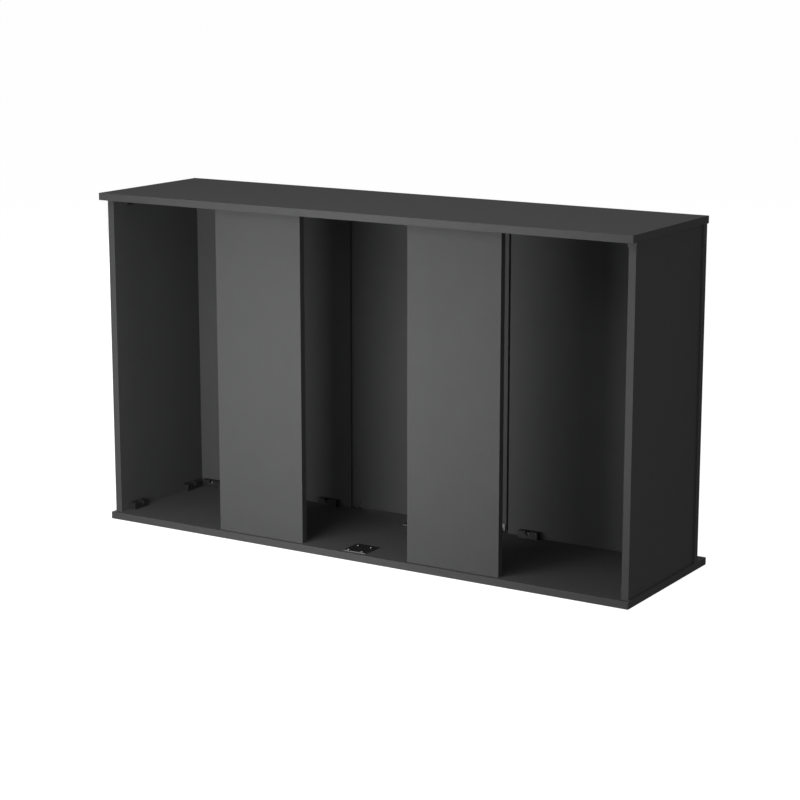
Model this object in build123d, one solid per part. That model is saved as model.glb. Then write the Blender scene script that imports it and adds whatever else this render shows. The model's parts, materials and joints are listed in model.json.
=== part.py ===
from build123d import *
import os

# Aquarium stand cabinet, millimetres. +X is the right-hand end seen from the front, +Y is the back,
# +Z is up. The origin lies under the middle of the bounding box, on the underside of the bottom board.

# ---------------------------------------------------------------- driving dimensions
WIDTH = 1510.0              # top and bottom boards, end to end
HEIGHT = 864.0              # underside of the bottom board to the face the tank stands on
DEPTH = 447.5               # front of the top board to the back of the bottom board
TOP_DEPTH = 405.5
BOTTOM_DEPTH = 432.0
BOARD = 18.6                # melamine-faced chipboard
EDGING = 1.0                # ABS edge strip glued round each board
ARRIS = 0.6                 # rounding along an edge strip's two outer corners

FRONT_RECESS = 27.75        # top board's front edge to the carcass front
BACK_RECESS = 6.55          # top board's rear edge to the back boards' outer face
SIDE_INSET = 5.4            # board ends to the side panels' outer faces
BACK_INSET = 0.8            # board ends to the back boards' outer ends
FRONT_PANEL_WIDTH = 254.4
FRONT_PANEL_X = 280.75      # middle of each fixed front panel from the cabinet's middle
DOOR_WIDTH = 466.0          # rear service door, in the middle of the back
DOOR_GAP = 5.4              # clearance all round the door
OVERCUT = 1.0               # how far a cutter runs past the face it starts from

# Corner connectors: a moulded block pegged into the upright and bolted to the horizontal board.
BLOCK_LENGTH = 57.0
BLOCK_DEPTH = 18.5
BLOCK_HEIGHT = 18.0
BLOCK_EDGE = 1.2
BLOCK_INSET_SIDE = 61.0     # block's middle from a side panel's front edge, or from the back boards
BLOCK_INSET_BACK = 65.6     # block's middle from either end of a back board
BLOCK_INSET_FRONT = 61.0    # block's middle from either edge of a front panel
WELL_RADIUS = 6.0           # pocket for the bolt, open at the top and at the front
WELL_AXIS = 8.5             # pocket's middle, back from the block's front face
WELL_FLOOR = 6.0
WINDOW_RADIUS = 5.0         # half the width of the pocket's opening in the front face
WINDOW_FOOT = 7.2           # lowest point of that opening, which has a round foot
RIM = 1.2                   # 45 degree bevel round both of the pocket's openings
RIM_LAP = 0.4               # how far the bevel's cutters start inside the pocket
SLOT_LENGTH = 11.0          # cored-out slots in the block's top
SLOT_WIDTH = 4.0
SLOT_DEPTH = 9.0
SLOT_OFFSET = 20.0
BOLT_RADIUS = 3.0
BOLT_HEAD_RADIUS = 4.7
BOLT_HEAD_HEIGHT = 8.3
BOLT_ROUND = 1.3            # rounding of the head's top edge
BOLT_REACH = 9.0            # into the horizontal board
HEX_SOCKET = 5.0
INSERT_RADIUS = 5.0
INSERT_LENGTH = 11.0
STUD_RADIUS = 4.0           # pegs moulded on the block's back, pressed into the upright
STUD_LENGTH = 9.0
STUD_CHAMFER = 0.8
STUD_OFFSET = 19.0
STUD_Z = 8.0
STUD_HOLE_DEPTH = 9.6
DOWEL_RADIUS = 4.0
DOWEL_IN_BOARD = 12.0
DOWEL_IN_UPRIGHT = 20.0
DOWEL_CHAMFER = 0.8

# Wood screws: shared proportions, with their own lengths.
SCREW_RADIUS = 1.9
SCREW_TIP = 3.5             # length of the tapered end
SCREW_POINT = 0.3           # radius left at its point
CSK_RADIUS = 3.8            # countersunk head
CSK_HEIGHT = 2.4
PAN_RADIUS = 3.9            # pan head
PAN_HEIGHT = 2.8
PAN_DOME = 2.0
CROSS_WIDTH = 0.9
CROSS_SPAN = 4.4
CROSS_DEPTH = 1.3

# Steel plates on the bottom board.
PLATE = 66.0
PLATE_THICKNESS = 2.5
PLATE_CORNER = 2.0
PLATE_EDGE = 0.7
PLATE_SCREW_X = 39.0
PLATE_SCREW_Y = 43.0
PLATE_SCREW_MARGIN = 6.0    # outer pair of screws from the plate's outer edge
PLATE_TO_DOOR = 6.6
PLATE_SCREW_LENGTH = 14.0

# Rear door's pivots, strike plate and magnetic catch.
PIVOT_X = -218.0
PIN_RADIUS = 3.0
PIN_CLEARANCE = 0.08
PIN_IN_BOARD = 12.0
PIN_IN_DOOR = 12.0
PIN_CHAMFER = 0.5
SPACER_RADIUS = 5.5
SPACER_PLAY = 0.3
SOCKET_LENGTH = 22.0
SOCKET_THICKNESS = 10.0
SOCKET_HEIGHT = 16.0
SOCKET_PIN_END = 6.5        # pin's middle from the socket's near end
SOCKET_SCREW_X = -209.0
SOCKET_SCREW_Z = 10.0       # above the door's edge
SOCKET_SCREW_RADIUS = 1.6
SOCKET_SCREW_LENGTH = 12.3
STRIKE_LENGTH = 36.0
STRIKE_HEIGHT = 18.0
STRIKE_THICKNESS = 3.0
STRIKE_CORNER = 1.5
STRIKE_EDGE = 0.5
STRIKE_MARGIN = 2.0         # plate's end from the door's edge
STRIKE_SCREW_END = 9.0      # each screw from its end of the plate
STRIKE_SCREW_Z = 12.2       # above the plate's lower edge
STRIKE_SCREW_LENGTH = 14.0
CATCH_LENGTH = 31.0
CATCH_DEPTH = 15.0
CATCH_HEIGHT = 14.0
CATCH_EDGE = 1.0
CATCH_GAP = 0.4             # magnet's face to the strike plate
CATCH_LEFT = 190.0
CATCH_SCREW_END = 4.6       # each screw from its end of the catch
CATCH_SCREW_FRONT = 4.4     # screws from the catch's front
CATCH_SCREW_LENGTH = 26.0
MAGNET_LENGTH = 20.0
MAGNET_DEPTH = 6.0
MAGNET_HEIGHT = 8.0
MAGNET_Z = 4.0              # above the bottom board

# ---------------------------------------------------------------- worked-out planes
FLOOR_Z = BOARD
CEILING_Z = HEIGHT - BOARD
HALF_WIDTH = WIDTH / 2
TOP_FRONT_Y = -DEPTH / 2
TOP_BACK_Y = TOP_FRONT_Y + TOP_DEPTH
BOTTOM_BACK_Y = DEPTH / 2
BOTTOM_FRONT_Y = BOTTOM_BACK_Y - BOTTOM_DEPTH
FRONT_Y = TOP_FRONT_Y + FRONT_RECESS
BACK_OUTER_Y = TOP_BACK_Y - BACK_RECESS
BACK_INNER_Y = BACK_OUTER_Y - BOARD
SIDE_OUTER_X = HALF_WIDTH - SIDE_INSET
SIDE_INNER_X = SIDE_OUTER_X - BOARD
BACK_END_X = HALF_WIDTH - BACK_INSET
DOOR_X = DOOR_WIDTH / 2
BACK_START_X = DOOR_X + DOOR_GAP
DOOR_BOTTOM_Z = FLOOR_Z + DOOR_GAP
DOOR_TOP_Z = CEILING_Z - DOOR_GAP
DOOR_MID_Y = BACK_INNER_Y + BOARD / 2
STRIKE_FACE_Y = BACK_INNER_Y - STRIKE_THICKNESS
CATCH_FACE_Y = STRIKE_FACE_Y - CATCH_GAP

SIGNS = {"left": -1, "right": 1}
LEVELS = ("bottom", "top")


# ---------------------------------------------------------------- small helpers
def block_between(low, high):
    """A box from its lowest to its highest corner."""
    size = [b - a for a, b in zip(low, high)]
    middle = [(a + b) / 2 for a, b in zip(low, high)]
    return Pos(*middle) * Box(*size)


def rod(radius, z_low, z_high):
    """A round bar standing on the Z axis."""
    return Pos(0, 0, (z_low + z_high) / 2) * Cylinder(radius, z_high - z_low)


def frustum(radius_low, radius_high, z_low, z_high):
    """A cone cut square at both ends, standing on the Z axis."""
    return Pos(0, 0, (z_low + z_high) / 2) * Cone(radius_low, radius_high, z_high - z_low)


def cross_recess(z_top):
    """Cutter for a cross recess, down from a screw head's top."""
    z_middle = z_top - CROSS_DEPTH / 2
    slot = Pos(0, 0, z_middle) * Box(CROSS_SPAN, CROSS_WIDTH, CROSS_DEPTH)
    return slot + Rot(0, 0, 90) * slot


def screw_shank(length):
    """A wood screw's shank, down from z = 0."""
    taper_top = -length + SCREW_TIP
    return rod(SCREW_RADIUS, taper_top, 0) + frustum(SCREW_POINT, SCREW_RADIUS, -length, taper_top)


def countersunk_outline(length):
    """A countersunk screw with a plain head, flush at z = 0; also the cutter for its hole."""
    head = frustum(SCREW_RADIUS, CSK_RADIUS, -CSK_HEIGHT, 0)
    return head + Pos(0, 0, -CSK_HEIGHT) * screw_shank(length - CSK_HEIGHT)


def countersunk_screw(length):
    return countersunk_outline(length) - cross_recess(0)


def pan_screw(length):
    """Pan-head wood screw, the underside of its domed head at z = 0."""
    head = rod(PAN_RADIUS, 0, PAN_HEIGHT)
    head = fillet(head.edges().sort_by(Axis.Z)[-1], PAN_DOME)
    return head - cross_recess(PAN_HEIGHT) + screw_shank(length)


# ---------------------------------------------------------------- edged boards
def edge_strip(low, high, outward):
    """One strip of edging, its two long outer corners rounded."""
    strip = block_between(low, high)
    outer_face = strip.faces().sort_by(Axis((0, 0, 0), outward))[-1]
    long_edges = outer_face.edges().sort_by(SortBy.LENGTH)[-2:]
    return fillet(long_edges, ARRIS)


def edged_board(low, high, edged_axes):
    """A board's core and its strips of edging, on both ends of each axis in edged_axes.

    The first axis named has the strips that run the full length, over the ends of the others.
    """
    core_low = list(low)
    core_high = list(high)
    strips = []
    for axis in edged_axes:
        for side in (-1, 1):
            strip_low = list(core_low)
            strip_high = list(core_high)
            if side < 0:
                strip_high[axis] = core_low[axis] + EDGING
            else:
                strip_low[axis] = core_high[axis] - EDGING
            outward = [0, 0, 0]
            outward[axis] = side
            strips.append(edge_strip(strip_low, strip_high, outward))
        core_low[axis] += EDGING
        core_high[axis] -= EDGING
    return block_between(core_low, core_high), strips


X_AXIS, Y_AXIS, Z_AXIS = 0, 1, 2

boards = {}
edgings = {}
boards["top_board"], edgings["top_board"] = edged_board(
    (-HALF_WIDTH, TOP_FRONT_Y, CEILING_Z), (HALF_WIDTH, TOP_BACK_Y, HEIGHT), (Y_AXIS, X_AXIS))
boards["bottom_board"], edgings["bottom_board"] = edged_board(
    (-HALF_WIDTH, BOTTOM_FRONT_Y, 0), (HALF_WIDTH, BOTTOM_BACK_Y, FLOOR_Z), (Y_AXIS, X_AXIS))
for side, sign in SIGNS.items():
    side_x = sorted((sign * SIDE_INNER_X, sign * SIDE_OUTER_X))
    boards[f"{side}_side_panel"], edgings[f"{side}_side_panel"] = edged_board(
        (side_x[0], FRONT_Y, FLOOR_Z), (side_x[1], BACK_INNER_Y, CEILING_Z), (Y_AXIS,))
    panel_x = sign * FRONT_PANEL_X
    boards[f"{side}_front_panel"], edgings[f"{side}_front_panel"] = edged_board(
        (panel_x - FRONT_PANEL_WIDTH / 2, FRONT_Y, FLOOR_Z),
        (panel_x + FRONT_PANEL_WIDTH / 2, FRONT_Y + BOARD, CEILING_Z), (X_AXIS,))
    back_x = sorted((sign * BACK_START_X, sign * BACK_END_X))
    boards[f"{side}_back_panel"], edgings[f"{side}_back_panel"] = edged_board(
        (back_x[0], BACK_INNER_Y, FLOOR_Z), (back_x[1], BACK_OUTER_Y, CEILING_Z), (X_AXIS,))
boards["rear_door"], edgings["rear_door"] = edged_board(
    (-DOOR_X, BACK_INNER_Y, DOOR_BOTTOM_Z), (DOOR_X, BACK_OUTER_Y, DOOR_TOP_Z), (X_AXIS, Z_AXIS))


# ---------------------------------------------------------------- corner connector, in its own frame
# Local +X runs along the upright, local +Y points away from its face, local +Z away from the
# horizontal board; the origin is in the corner between the two boards, at the block's middle.
def rim_cone(radius, face):
    """Cutter that bevels a round opening of this radius in a face at z = face."""
    low = face - RIM - RIM_LAP
    return frustum(radius - RIM_LAP, radius + RIM + OVERCUT, low, face + OVERCUT)


def rim_wedge(height):
    """Cutter that bevels the window's two upright edges, from z = 0 up to height."""
    inner_x = WINDOW_RADIUS - RIM_LAP
    outer_x = WINDOW_RADIUS + RIM + OVERCUT
    inner_y = BLOCK_DEPTH - RIM - RIM_LAP
    outer_y = BLOCK_DEPTH + OVERCUT
    corners = ((-inner_x, inner_y), (inner_x, inner_y), (outer_x, outer_y), (-outer_x, outer_y))
    return extrude(Polygon(*corners, align=None), height)


def connector_block():
    """Moulded block with a bolt well and two cored slots, and two studs on its back."""
    body = block_between((-BLOCK_LENGTH / 2, 0, 0), (BLOCK_LENGTH / 2, BLOCK_DEPTH, BLOCK_HEIGHT))
    exposed = body.edges().filter_by(Axis.X).sort_by(Axis.Z)[-2:].sort_by(Axis.Y)[-1:]
    exposed += body.edges().filter_by(Axis.Z).sort_by(Axis.Y)[-2:]
    exposed += body.edges().filter_by(Axis.Y).sort_by(Axis.Z)[-2:]
    body = fillet(exposed, BLOCK_EDGE)
    well_y = BLOCK_DEPTH - WELL_AXIS
    well_top = BLOCK_HEIGHT + OVERCUT
    body -= Pos(0, well_y, 0) * rod(WELL_RADIUS, WELL_FLOOR, well_top)
    round_z = WINDOW_FOOT + WINDOW_RADIUS
    window_end = BLOCK_DEPTH + OVERCUT
    window = block_between((-WINDOW_RADIUS, well_y, round_z), (WINDOW_RADIUS, window_end, well_top))
    round_foot = Rot(90, 0, 0) * Cylinder(WINDOW_RADIUS, window_end - well_y)
    body -= window + Pos(0, (well_y + window_end) / 2, round_z) * round_foot
    body -= Pos(0, well_y, 0) * rim_cone(WELL_RADIUS, BLOCK_HEIGHT)
    window_rim = rim_wedge(well_top - round_z) + Rot(-90, 0, 0) * rim_cone(WINDOW_RADIUS, BLOCK_DEPTH)
    body -= Pos(0, 0, round_z) * window_rim
    body -= Pos(0, well_y, 0) * rod(BOLT_RADIUS, -OVERCUT, WELL_FLOOR + OVERCUT)
    for side in (-1, 1):
        slot = Pos(side * SLOT_OFFSET, BLOCK_DEPTH / 2, BLOCK_HEIGHT - SLOT_DEPTH / 2)
        body -= slot * Box(SLOT_LENGTH, SLOT_WIDTH, SLOT_DEPTH)
        stud = rod(STUD_RADIUS, -STUD_LENGTH, 0)
        body += stud_place(side) * chamfer(stud.edges().sort_by(Axis.Z)[0], STUD_CHAMFER)
    return body


def stud_place(side):
    """A stud's frame: its origin on the block's back, and its Z axis out of the upright."""
    return Pos(side * STUD_OFFSET, 0, STUD_Z) * Rot(-90, 0, 0)


def connector_bolt():
    """Machine bolt standing in the block's well, with a hexagon socket in its tall head."""
    head_top = WELL_FLOOR + BOLT_HEAD_HEIGHT
    head = rod(BOLT_HEAD_RADIUS, WELL_FLOOR, head_top)
    head = fillet(head.edges().sort_by(Axis.Z)[-1], BOLT_ROUND)
    socket_depth = BOLT_HEAD_HEIGHT / 2
    hexagon = extrude(RegularPolygon(HEX_SOCKET / 2, 6, major_radius=False), socket_depth)
    head -= Pos(0, 0, head_top - socket_depth) * hexagon
    return Pos(0, BLOCK_DEPTH - WELL_AXIS, 0) * (head + rod(BOLT_RADIUS, -BOLT_REACH, WELL_FLOOR))


def threaded_insert():
    """Flush insert in the horizontal board, which takes the bolt."""
    sleeve = rod(INSERT_RADIUS, -INSERT_LENGTH, 0) - rod(BOLT_RADIUS, -BOLT_REACH, OVERCUT)
    return Pos(0, BLOCK_DEPTH - WELL_AXIS, 0) * sleeve


def insert_hole():
    return Pos(0, BLOCK_DEPTH - WELL_AXIS, 0) * rod(INSERT_RADIUS, -INSERT_LENGTH, OVERCUT)


def dowel():
    """Beech dowel in the middle of the upright's thickness, half in each board."""
    pin = rod(DOWEL_RADIUS, -DOWEL_IN_BOARD, DOWEL_IN_UPRIGHT)
    pin = chamfer(pin.edges().filter_by(GeomType.CIRCLE), DOWEL_CHAMFER)
    return Pos(0, -BOARD / 2, 0) * pin


def dowel_hole():
    return Pos(0, -BOARD / 2, 0) * rod(DOWEL_RADIUS, -DOWEL_IN_BOARD, DOWEL_IN_UPRIGHT)


def connector_places():
    """Each connector's place: name, upright it holds, level and location."""
    places = []
    front_block_y = FRONT_Y + BLOCK_INSET_SIDE
    rear_block_y = BACK_INNER_Y - BLOCK_INSET_SIDE
    front_step = FRONT_PANEL_WIDTH / 2 - BLOCK_INSET_FRONT
    for side, sign in SIGNS.items():
        uprights = [
            ("side_panel", "front", sign * SIDE_INNER_X, front_block_y, 90 * sign),
            ("side_panel", "rear", sign * SIDE_INNER_X, rear_block_y, 90 * sign),
            ("back_panel", "inner", sign * (BACK_START_X + BLOCK_INSET_BACK), BACK_INNER_Y, 180),
            ("back_panel", "outer", sign * (BACK_END_X - BLOCK_INSET_BACK), BACK_INNER_Y, 180),
            ("front_panel", "inner", sign * (FRONT_PANEL_X - front_step), FRONT_Y + BOARD, 0),
            ("front_panel", "outer", sign * (FRONT_PANEL_X + front_step), FRONT_Y + BOARD, 0),
        ]
        for level in LEVELS:
            for upright, spot, x, y, turn in uprights:
                if level == "bottom":
                    where = Pos(x, y, FLOOR_Z) * Rot(0, 0, turn)
                else:
                    where = Pos(x, y, CEILING_Z) * Rot(0, 0, turn) * Rot(0, 180, 0)
                places.append((f"{side}_{upright}_{spot}", f"{side}_{upright}", level, where))
    return places


connectors = {}
bolts = []
inserts = []
dowels = []
block_shape = connector_block()
bolt_shape = connector_bolt()
insert_shape = threaded_insert()
dowel_shape = dowel()
for name, upright, level, where in connector_places():
    horizontal = f"{level}_board"
    connectors[f"connector_{name}_{level}"] = where * block_shape
    bolts.append(where * bolt_shape)
    inserts.append(where * insert_shape)
    dowels.append(where * dowel_shape)
    boards[horizontal] -= [where * insert_hole(), where * dowel_hole()]
    boards[upright] -= where * dowel_hole()
    for side in (-1, 1):
        boards[upright] -= where * stud_place(side) * rod(STUD_RADIUS, -STUD_HOLE_DEPTH, OVERCUT)


# ---------------------------------------------------------------- steel plates on the bottom board
def floor_plate(outer_y, inward):
    """Square plate, its outer edge at outer_y and the rest of it inward (+1 or -1 along Y)."""
    middle_y = outer_y + inward * PLATE / 2
    plate = Pos(0, middle_y, FLOOR_Z + PLATE_THICKNESS / 2) * Box(PLATE, PLATE, PLATE_THICKNESS)
    plate = fillet(plate.edges().filter_by(Axis.Z), PLATE_CORNER)
    plate = chamfer(plate.faces().sort_by(Axis.Z)[-1].edges(), PLATE_EDGE)
    places = []
    for row in (PLATE_SCREW_MARGIN, PLATE_SCREW_MARGIN + PLATE_SCREW_Y):
        for x in (-PLATE_SCREW_X / 2, PLATE_SCREW_X / 2):
            places.append(Pos(x, outer_y + inward * row, FLOOR_Z + PLATE_THICKNESS))
    for place in places:
        plate -= place * rod(SCREW_RADIUS, -PLATE_THICKNESS - OVERCUT, OVERCUT)
    return plate, places


plates = {}
plate_screws = []
plate_screw_shape = pan_screw(PLATE_SCREW_LENGTH)
plate_edges = {"front": (FRONT_Y, 1), "rear": (BACK_INNER_Y - PLATE_TO_DOOR, -1)}
for plate_name, (outer_y, inward) in plate_edges.items():
    plates[f"floor_plate_{plate_name}"], places = floor_plate(outer_y, inward)
    for place in places:
        plate_screws.append(place * plate_screw_shape)
        boards["bottom_board"] -= place * screw_shank(PLATE_SCREW_LENGTH)


# ---------------------------------------------------------------- rear door's pivots
# Local +Z points from the horizontal board into the door; the pin's axis is the local Z axis.
def pivot_pin():
    """Steel pin, half in the horizontal board and half in the door's socket."""
    pin = rod(PIN_RADIUS, -PIN_IN_BOARD, DOOR_GAP + PIN_IN_DOOR)
    return chamfer(pin.edges().filter_by(GeomType.CIRCLE), PIN_CHAMFER)


def pivot_spacer():
    """Plastic ring on the pin, which carries the door clear of the board."""
    height = DOOR_GAP - SPACER_PLAY
    return rod(SPACER_RADIUS, 0, height) - rod(PIN_RADIUS, -OVERCUT, height + OVERCUT)


def pivot_socket_outline():
    low = (-SOCKET_PIN_END, -SOCKET_THICKNESS / 2, DOOR_GAP)
    high = (SOCKET_LENGTH - SOCKET_PIN_END, SOCKET_THICKNESS / 2, DOOR_GAP + SOCKET_HEIGHT)
    return block_between(low, high)


def pivot_socket():
    """Plastic block let into the door's edge, with a running bore for the pin."""
    socket = pivot_socket_outline()
    bore_end = DOOR_GAP + PIN_IN_DOOR + OVERCUT
    return socket - rod(PIN_RADIUS + PIN_CLEARANCE, 0, bore_end)


def socket_screw_place(z):
    """Where a socket's screw goes in, through the door's inner face."""
    return Pos(SOCKET_SCREW_X, BACK_INNER_Y, z) * Rot(90, 0, 0)


pivot_places = {
    "bottom": Pos(PIVOT_X, DOOR_MID_Y, FLOOR_Z),
    "top": Pos(PIVOT_X, DOOR_MID_Y, CEILING_Z) * Rot(180, 0, 0),
}
socket_screw_z = {"bottom": DOOR_BOTTOM_Z + SOCKET_SCREW_Z, "top": DOOR_TOP_Z - SOCKET_SCREW_Z}
pivots = {}
spacers = []
socket_screws = []
for level, where in pivot_places.items():
    pivots[f"pivot_pin_{level}"] = where * pivot_pin()
    spacers.append(where * pivot_spacer())
    screw_place = socket_screw_place(socket_screw_z[level])
    screw_body = screw_place * rod(SOCKET_SCREW_RADIUS, -SOCKET_SCREW_LENGTH, 0)
    pivots[f"pivot_socket_{level}"] = where * pivot_socket() - screw_body
    socket_screws.append(screw_body)
    boards[f"{level}_board"] -= where * rod(PIN_RADIUS, -PIN_IN_BOARD, OVERCUT)
    boards["rear_door"] -= [where * pivot_socket_outline(), screw_body]
    edgings["rear_door"] = [strip - where * pivot_socket_outline() for strip in edgings["rear_door"]]


# ---------------------------------------------------------------- strike plate and magnetic catch
strike_right = DOOR_X - STRIKE_MARGIN
strike_left = strike_right - STRIKE_LENGTH
strike_top = DOOR_BOTTOM_Z + STRIKE_HEIGHT
strike_plate = block_between(
    (strike_left, STRIKE_FACE_Y, DOOR_BOTTOM_Z), (strike_right, BACK_INNER_Y, strike_top))
strike_plate = fillet(strike_plate.edges().filter_by(Axis.Y), STRIKE_CORNER)
strike_plate = chamfer(strike_plate.faces().sort_by(Axis.Y)[0].edges(), STRIKE_EDGE)
strike_screws = []
for screw_x in (strike_left + STRIKE_SCREW_END, strike_right - STRIKE_SCREW_END):
    place = Pos(screw_x, STRIKE_FACE_Y, DOOR_BOTTOM_Z + STRIKE_SCREW_Z) * Rot(90, 0, 0)
    hole = place * countersunk_outline(STRIKE_SCREW_LENGTH)
    strike_plate -= hole
    boards["rear_door"] -= hole
    strike_screws.append(place * countersunk_screw(STRIKE_SCREW_LENGTH))

catch_right = CATCH_LEFT + CATCH_LENGTH
catch_front_y = CATCH_FACE_Y - CATCH_DEPTH
catch_top = FLOOR_Z + CATCH_HEIGHT
catch = block_between((CATCH_LEFT, catch_front_y, FLOOR_Z), (catch_right, CATCH_FACE_Y, catch_top))
catch_edges = catch.edges().filter_by(Axis.Z)
catch_edges += catch.faces().sort_by(Axis.Z)[-1].edges().filter_by(Axis.X)
catch = fillet(catch_edges, CATCH_EDGE)
catch_x = (CATCH_LEFT + catch_right) / 2
magnet = block_between(
    (catch_x - MAGNET_LENGTH / 2, CATCH_FACE_Y - MAGNET_DEPTH, FLOOR_Z + MAGNET_Z),
    (catch_x + MAGNET_LENGTH / 2, CATCH_FACE_Y, FLOOR_Z + MAGNET_Z + MAGNET_HEIGHT))
catch -= magnet
catch_screws = []
for screw_x in (CATCH_LEFT + CATCH_SCREW_END, catch_right - CATCH_SCREW_END):
    place = Pos(screw_x, catch_front_y + CATCH_SCREW_FRONT, catch_top)
    hole = place * countersunk_outline(CATCH_SCREW_LENGTH)
    catch -= hole
    boards["bottom_board"] -= hole
    catch_screws.append(place * countersunk_screw(CATCH_SCREW_LENGTH))


# ---------------------------------------------------------------- files
nodes = dict(boards)
nodes.update({f"edging_{name}": strips for name, strips in edgings.items()})
nodes.update(connectors)
nodes.update(plates)
nodes.update(pivots)
nodes["connector_bolts"] = bolts
nodes["threaded_inserts"] = inserts
nodes["wooden_dowels"] = dowels
nodes["floor_plate_screws"] = plate_screws
nodes["pivot_spacers"] = spacers
nodes["pivot_socket_screws"] = socket_screws
nodes["strike_plate"] = strike_plate
nodes["strike_plate_screws"] = strike_screws
nodes["magnetic_catch"] = catch
nodes["catch_magnet"] = magnet
nodes["catch_screws"] = catch_screws

os.makedirs("parts", exist_ok=True)
for name, shape in nodes.items():
    if isinstance(shape, list):
        shape = Compound(children=shape)
    export_step(shape, f"parts/{name}.step")
print(len(nodes), "nodes written")
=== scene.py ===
import json
import math

import bpy
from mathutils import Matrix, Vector

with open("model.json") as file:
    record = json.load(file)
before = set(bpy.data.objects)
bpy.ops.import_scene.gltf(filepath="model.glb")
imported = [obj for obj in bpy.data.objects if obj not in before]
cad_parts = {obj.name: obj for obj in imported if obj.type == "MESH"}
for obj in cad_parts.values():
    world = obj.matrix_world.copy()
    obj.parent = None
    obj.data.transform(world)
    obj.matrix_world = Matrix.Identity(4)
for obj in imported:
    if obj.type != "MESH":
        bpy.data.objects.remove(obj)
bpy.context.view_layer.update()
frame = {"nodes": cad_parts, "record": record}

MM = 0.001
WHITE = (1, 1, 1, 1)
scene = bpy.context.scene
nodes = frame["nodes"]


# ------------------------------------------------------------------ shader helpers
MIX_FACTOR, MIX_A, MIX_B, MIX_RESULT = 0, 6, 7, 2      # the Mix node's sockets for colours


class Shader:
    """A new material with a Principled shader, and short ways to add nodes to it."""

    def __init__(self, name):
        self.material = bpy.data.materials.new(name)
        self.material.use_nodes = True
        self.tree = self.material.node_tree
        self.bsdf = self.tree.nodes["Principled BSDF"]
        self.place = self.tree.nodes.new("ShaderNodeTexCoord").outputs["Object"]

    def set(self, **values):
        """Values that are the same all over, on the shader's own sockets."""
        for socket, value in values.items():
            self.bsdf.inputs[socket.replace("_", " ")].default_value = value

    def feed(self, socket, value):
        """Link value to the socket if it is another node's output, or else set it there."""
        if hasattr(value, "is_output"):
            self.tree.links.new(value, socket)
        else:
            socket.default_value = value

    def node(self, kind, **inputs):
        """A new node, with values or other nodes' outputs for its inputs."""
        new = self.tree.nodes.new(kind)
        for socket, value in inputs.items():
            self.feed(new.inputs[socket.replace("_", " ")], value)
        return new

    def stretched(self, x, y, z):
        """The object's coordinates, multiplied along each axis."""
        mapping = self.node("ShaderNodeMapping", Vector=self.place)
        mapping.inputs["Scale"].default_value = (x, y, z)
        return mapping.outputs["Vector"]

    def noise(self, size, detail=2.0, roughness=0.5, vector=None):
        """Noise with features about size metres across, from 0 to 1."""
        texture = self.node("ShaderNodeTexNoise", Vector=vector or self.place, Scale=1 / size,
                            Detail=detail, Roughness=roughness)
        return texture.outputs["Fac"]

    def between(self, fac, low, high):
        """fac stretched from 0..1 to low..high."""
        spread = self.node("ShaderNodeMapRange", Value=fac)
        spread.inputs["To Min"].default_value = low
        spread.inputs["To Max"].default_value = high
        return spread.outputs["Result"]

    def band(self, fac, start, end):
        """0 below start and 1 above end."""
        spread = self.node("ShaderNodeMapRange", Value=fac)
        spread.inputs["From Min"].default_value = start
        spread.inputs["From Max"].default_value = end
        return spread.outputs["Result"]

    def mix(self, fac, dark, light):
        """A colour between two, which are colours or sockets."""
        new = self.tree.nodes.new("ShaderNodeMix")
        new.data_type = "RGBA"
        for index, value in ((MIX_FACTOR, fac), (MIX_A, dark), (MIX_B, light)):
            self.feed(new.inputs[index], value)
        return new.outputs[MIX_RESULT]

    def link(self, output, socket):
        """An output to one of the Principled shader's sockets."""
        self.tree.links.new(output, self.bsdf.inputs[socket])

    def bump(self, *layers):
        """Bump from (height, depth in metres) layers, one over the other."""
        normal = None
        for height, depth in layers:
            new = self.node("ShaderNodeBump", Height=height, Distance=depth, Strength=1.0)
            if normal is not None:
                self.tree.links.new(normal, new.inputs["Normal"])
            normal = new.outputs["Normal"]
        self.link(normal, "Normal")


def grey(value, warmth=0.0):
    """A near-neutral colour; warmth leans it towards red (positive) or blue (negative)."""
    return (value * (1 + warmth), value, value * (1 - warmth), 1.0)


# ------------------------------------------------------------------ materials
def melamine():
    """Anthracite melamine facing: a fine pearl texture pressed into a satin film."""
    s = Shader("melamine_board")
    pearl = s.noise(0.9 * MM, detail=2.0, roughness=0.55)
    cloud = s.noise(60 * MM, detail=3.0)
    speck = s.band(s.noise(1.6 * MM, detail=1.0), 0.62, 0.72)
    body = s.mix(cloud, grey(0.0455, -0.010), grey(0.0515, -0.006))
    s.link(s.mix(s.between(speck, 0.0, 0.35), body, grey(0.062)), "Base Color")
    s.link(s.between(s.noise(8 * MM, detail=3.0), 0.58, 0.70), "Roughness")
    s.set(Specular_IOR_Level=0.27)
    s.bump((pearl, 0.018 * MM))
    return s.material


def edging():
    """ABS edge strip: the same colour, drawn lines along it and a slightly closer sheen."""
    s = Shader("abs_edging")
    drawn = s.noise(0.7 * MM, detail=2.0)
    cloud = s.noise(35 * MM, detail=2.0)
    s.link(s.mix(cloud, grey(0.0425, -0.010), grey(0.0490, -0.006)), "Base Color")
    s.link(s.between(s.noise(6 * MM, detail=2.0), 0.52, 0.64), "Roughness")
    s.set(Specular_IOR_Level=0.30)
    s.bump((drawn, 0.010 * MM))
    return s.material


def moulded_plastic(name, value, grain, rough):
    """Black injection-moulded plastic with a spark-eroded grain."""
    s = Shader(name)
    texture = s.noise(grain, detail=3.0, roughness=0.6)
    s.link(s.mix(s.noise(6 * MM), grey(value * 0.85), grey(value * 1.2)), "Base Color")
    s.link(s.between(texture, rough - 0.07, rough + 0.07), "Roughness")
    s.bump((texture, 0.03 * MM))
    return s.material


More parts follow.
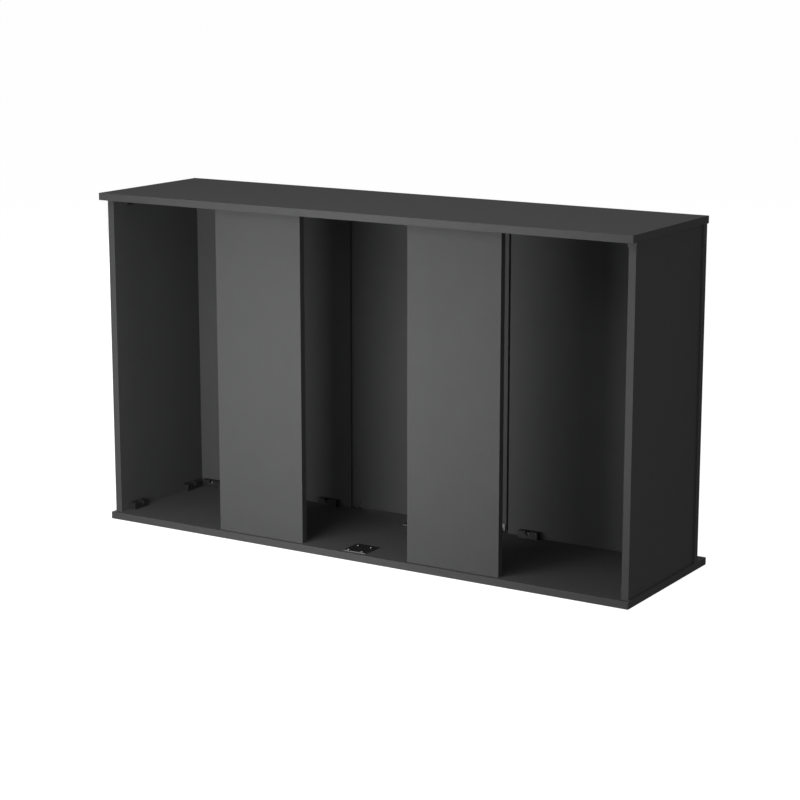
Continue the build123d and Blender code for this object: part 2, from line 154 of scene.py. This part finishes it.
def zinc(name, value, rough):
    """Zinc-plated steel: brushed lines, and a faint blue and yellow bloom."""
    s = Shader(name)
    bloom = s.noise(5 * MM, detail=2.0)
    brushed = s.noise(0.25 * MM, detail=2.0, vector=s.stretched(0.15, 1.0, 1.0))
    s.link(s.mix(bloom, grey(value, -0.03), grey(value * 1.12, 0.03)), "Base Color")
    s.link(s.between(brushed, rough - 0.08, rough + 0.10), "Roughness")
    s.set(Metallic=1.0)
    s.bump((brushed, 0.006 * MM))
    return s.material


def black_oxide():
    """Blackened screws: dark polished metal, paler where the oxide has worn."""
    s = Shader("black_screw")
    wear = s.band(s.noise(0.8 * MM, detail=3.0), 0.60, 0.75)
    s.link(s.mix(wear, grey(0.26), grey(0.40)), "Base Color")
    s.link(s.between(s.noise(1.2 * MM), 0.20, 0.30), "Roughness")
    s.set(Metallic=1.0)
    s.bump((s.noise(0.5 * MM), 0.01 * MM))
    return s.material


def coated_plate():
    """Black powder coat on the flat faces of a plate, bare bright steel round its edges."""
    s = Shader("plate_steel")
    facing = s.tree.nodes.new("ShaderNodeSeparateXYZ")
    s.tree.links.new(s.tree.nodes["Texture Coordinate"].outputs["Normal"], facing.inputs["Vector"])
    coat = s.band(facing.outputs["Z"], 0.80, 0.95)
    peel = s.noise(0.8 * MM, detail=2.0)
    black = s.mix(s.noise(9 * MM), grey(0.008), grey(0.012))
    steel = s.mix(s.noise(2 * MM), grey(0.12), grey(0.16))
    s.link(s.mix(coat, steel, black), "Base Color")
    s.link(s.between(coat, 1.0, 0.0), "Metallic")
    s.link(s.between(peel, 0.50, 0.62), "Roughness")
    s.set(Specular_IOR_Level=0.16)
    s.bump((peel, 0.02 * MM))
    return s.material


def ferrite():
    """Sintered magnet: dull, dark and slightly gritty."""
    s = Shader("magnet")
    grit = s.noise(0.4 * MM, detail=4.0, roughness=0.7)
    s.link(s.mix(grit, grey(0.035), grey(0.075)), "Base Color")
    s.link(s.between(grit, 0.50, 0.70), "Roughness")
    s.bump((grit, 0.02 * MM))
    return s.material


def beech():
    """Beech dowel: grain along its length, with short darker flecks."""
    s = Shader("beech_dowel")
    grain = s.noise(0.7 * MM, detail=4.0, vector=s.stretched(1.0, 1.0, 0.06))
    fleck = s.band(s.noise(1.1 * MM, vector=s.stretched(1.0, 1.0, 0.15)), 0.60, 0.72)
    wood = s.mix(grain, (0.42, 0.25, 0.13, 1.0), (0.62, 0.43, 0.26, 1.0))
    s.link(s.mix(fleck, wood, (0.30, 0.16, 0.08, 1.0)), "Base Color")
    s.link(s.between(grain, 0.50, 0.65), "Roughness")
    s.bump((grain, 0.04 * MM))
    return s.material


materials = {
    "melamine_board": melamine(),
    "abs_edging": edging(),
    "connector_plastic": moulded_plastic("connector_plastic", 0.011, 0.35 * MM, 0.42),
    "fitting_plastic": moulded_plastic("fitting_plastic", 0.010, 0.30 * MM, 0.36),
    "zinc_steel": zinc("zinc_steel", 0.15, 0.32),
    "black_screw": black_oxide(),
    "plate_steel": coated_plate(),
    "strike_steel": zinc("strike_steel", 0.20, 0.58),
    "magnet": ferrite(),
    "beech_dowel": beech(),
}
for part in frame["record"]["subparts"]:
    mesh = nodes[part["node"]].data
    mesh.materials.clear()
    mesh.materials.append(materials[part["material_slot"]])


# ------------------------------------------------------------------ camera, floor and light
def aimed(obj, place, target):
    """Put obj in the scene at place, its -Z towards target."""
    obj.location = place
    direction = Vector(target) - Vector(place)
    obj.rotation_euler = direction.to_track_quat("-Z", "Y").to_euler()
    scene.collection.objects.link(obj)


CAMERA_PLACE = Vector((2.836, -4.546, 1.522))
CAMERA_YAW = math.radians(31.85)     # to the left of +Y
CAMERA_PITCH = math.radians(12.16)   # below level
LENS = 98.3                          # mm, on a sensor SENSOR mm wide
SENSOR = 36.0
VIEW_END = 100.0
camera = bpy.data.objects.new("camera", bpy.data.cameras.new("camera"))
camera.data.lens = LENS
camera.data.sensor_width = SENSOR
camera.data.clip_end = VIEW_END
level = Vector((-math.sin(CAMERA_YAW), math.cos(CAMERA_YAW), 0.0)) * math.cos(CAMERA_PITCH)
aimed(camera, CAMERA_PLACE, CAMERA_PLACE + level - Vector((0, 0, math.sin(CAMERA_PITCH))))
scene.camera = camera


def softbox(name, place, target, width, height, power):
    """A rectangular area light of so many watts, at place and facing target."""
    data = bpy.data.lights.new(name, "AREA")
    data.shape = "RECTANGLE"
    data.size = width
    data.size_y = height
    data.energy = power
    aimed(bpy.data.objects.new(name, data), place, target)


MIDDLE = (0, 0, 0.45)
softbox("key", (-0.32, -1.22, 0.39), (-0.32, 0, 0.39), 0.9, 0.8, 18.3)
softbox("key_upper", (-0.2, -2.6, 2.6), MIDDLE, 2.0, 1.5, 30)
softbox("fill_left", (-4.5, -4.5, 2.4), MIDDLE, 3.0, 3.0, 36)
softbox("fill_right", (1.2, -1.6, 0.5), MIDDLE, 1.0, 1.0, 4.4)
softbox("side", (4.0, -0.2, 0.7), MIDDLE, 2.0, 1.6, 20)
softbox("overhead", (-0.15, 0.2, 4.0), (-0.15, 0.2, 0), 3.0, 3.0, 69)
softbox("rear", (-4.8, 3.0, 0.40), (0, 0.18, 0.40), 1.4, 0.7, 110)

WORLD_LIGHT = 0.105
world = bpy.data.worlds.new("studio")
scene.world = world
world.use_nodes = True
world_tree = world.node_tree
ambient = world_tree.nodes["Background"]
ambient.inputs["Color"].default_value = WHITE
ambient.inputs["Strength"].default_value = WORLD_LIGHT
backdrop = world_tree.nodes.new("ShaderNodeBackground")   # the bright paper above the horizon
backdrop.inputs["Color"].default_value = WHITE
seen_directly = world_tree.nodes.new("ShaderNodeLightPath").outputs["Is Camera Ray"]
either = world_tree.nodes.new("ShaderNodeMixShader")
world_tree.links.new(seen_directly, either.inputs["Fac"])
world_tree.links.new(ambient.outputs["Background"], either.inputs[1])
world_tree.links.new(backdrop.outputs["Background"], either.inputs[2])
world_tree.links.new(either.outputs["Shader"], world_tree.nodes["World Output"].inputs["Surface"])

FLOOR_HALF = 60.0
FLOOR_GLOW = 0.95     # its own light, so that the paper is as bright in every view
floor_shader = Shader("studio_floor")
floor_shader.link(floor_shader.between(floor_shader.noise(0.8), 0.55, 0.65), "Roughness")
floor_shader.link(floor_shader.mix(floor_shader.noise(1.5), grey(0.24), grey(0.26)), "Base Color")
floor_shader.set(Emission_Color=WHITE, Emission_Strength=FLOOR_GLOW)
floor_mesh = bpy.data.meshes.new("studio_floor")
corners = [(-FLOOR_HALF, -FLOOR_HALF, 0), (FLOOR_HALF, -FLOOR_HALF, 0),
           (FLOOR_HALF, FLOOR_HALF, 0), (-FLOOR_HALF, FLOOR_HALF, 0)]
floor_mesh.from_pydata(corners, [], [(0, 1, 2, 3)])
floor_mesh.materials.append(floor_shader.material)
studio_floor = bpy.data.objects.new("studio_floor", floor_mesh)
studio_floor.visible_diffuse = False
studio_floor.visible_glossy = False
scene.collection.objects.link(studio_floor)

scene.view_settings.view_transform = "Standard"
